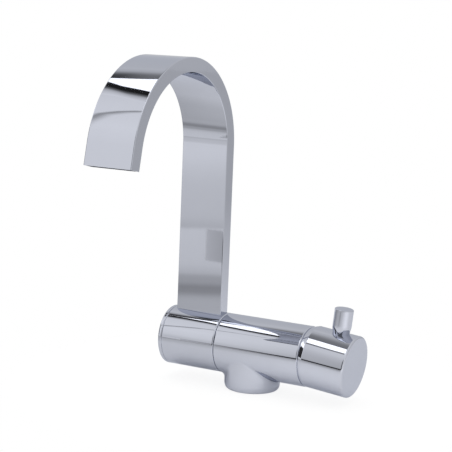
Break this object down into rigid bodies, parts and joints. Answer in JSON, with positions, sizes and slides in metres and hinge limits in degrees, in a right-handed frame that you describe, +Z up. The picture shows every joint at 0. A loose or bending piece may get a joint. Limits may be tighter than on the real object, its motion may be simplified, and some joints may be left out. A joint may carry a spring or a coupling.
{
  "type": "fold-down mixer tap",
  "caption": "Deck-mounted mixer tap with a horizontal round body on a short base, a flat arched spout that folds down on its collar, and a round handle with an upright lever pin.",
  "frame": {"origin": "centre of the base's underside, where the tap stands on the worktop", "axes": "+Z up along the base's axis; +X along the body's horizontal axis towards the handle; the spout's outlet points to -Y"},
  "size_m": [0.1386, 0.1413, 0.2193],
  "materials": {
    "chrome": "polished chrome plate on brass",
    "brass": "plain turned brass",
    "steel": "stainless steel, as machined",
    "seal_rubber": "black nitrile rubber",
    "cartridge_plastic": "pale moulded acetal",
    "slide_plastic": "grey moulded acetal",
    "ceramic": "lapped alumina ceramic"
  },
  "bodies": {
    "body": {"body_casting": "chrome", "base_gasket": "seal_rubber", "stop_pin": "steel", "spout_hub": "brass", "hub_seal_inner": "seal_rubber", "hub_seal_outer": "seal_rubber", "thrust_washer": "slide_plastic", "retaining_washer": "steel", "retaining_screw": "steel", "cartridge_base": "cartridge_plastic", "cartridge_seals": "seal_rubber", "fixed_disc": "ceramic", "cartridge_housing": "cartridge_plastic", "cartridge_nut": "brass"},
    "spout": {"spout_collar": "chrome", "spout_band": "chrome", "end_cap": "chrome", "cap_seal": "seal_rubber", "flow_straightener": "slide_plastic"},
    "rotor": {"stem_rotor": "cartridge_plastic", "pivot_pin": "steel"},
    "disc": {"moving_disc": "ceramic", "disc_carrier": "slide_plastic"},
    "handle": {"handle": "chrome", "lever_pin": "chrome", "valve_stem": "steel", "handle_screw": "steel"}
  },
  "joints": [
    {"name": "spout_fold", "type": "hinge", "parent": "body", "child": "spout", "pos_m": [0, 0, 0.0277], "axis": [1, 0, 0], "range_deg": [0, 90]},
    {"name": "handle_turn", "type": "hinge", "parent": "body", "child": "rotor", "pos_m": [0, 0, 0.0277], "axis": [1, 0, 0], "range_deg": [-45, 45]},
    {"name": "handle_lift", "type": "hinge", "parent": "rotor", "child": "handle", "pos_m": [0.0498, 0, 0.0277], "axis": [0, -1, 0], "range_deg": [0, 12]},
    {"name": "disc_slide", "type": "slide", "parent": "rotor", "child": "disc", "axis": [0, 0, -1], "range_m": [0, 0.0047]}
  ],
  "couplings": [
    {"joint": "disc_slide", "follows": "handle_lift", "m_per_rad": 0.02226}
  ]
}
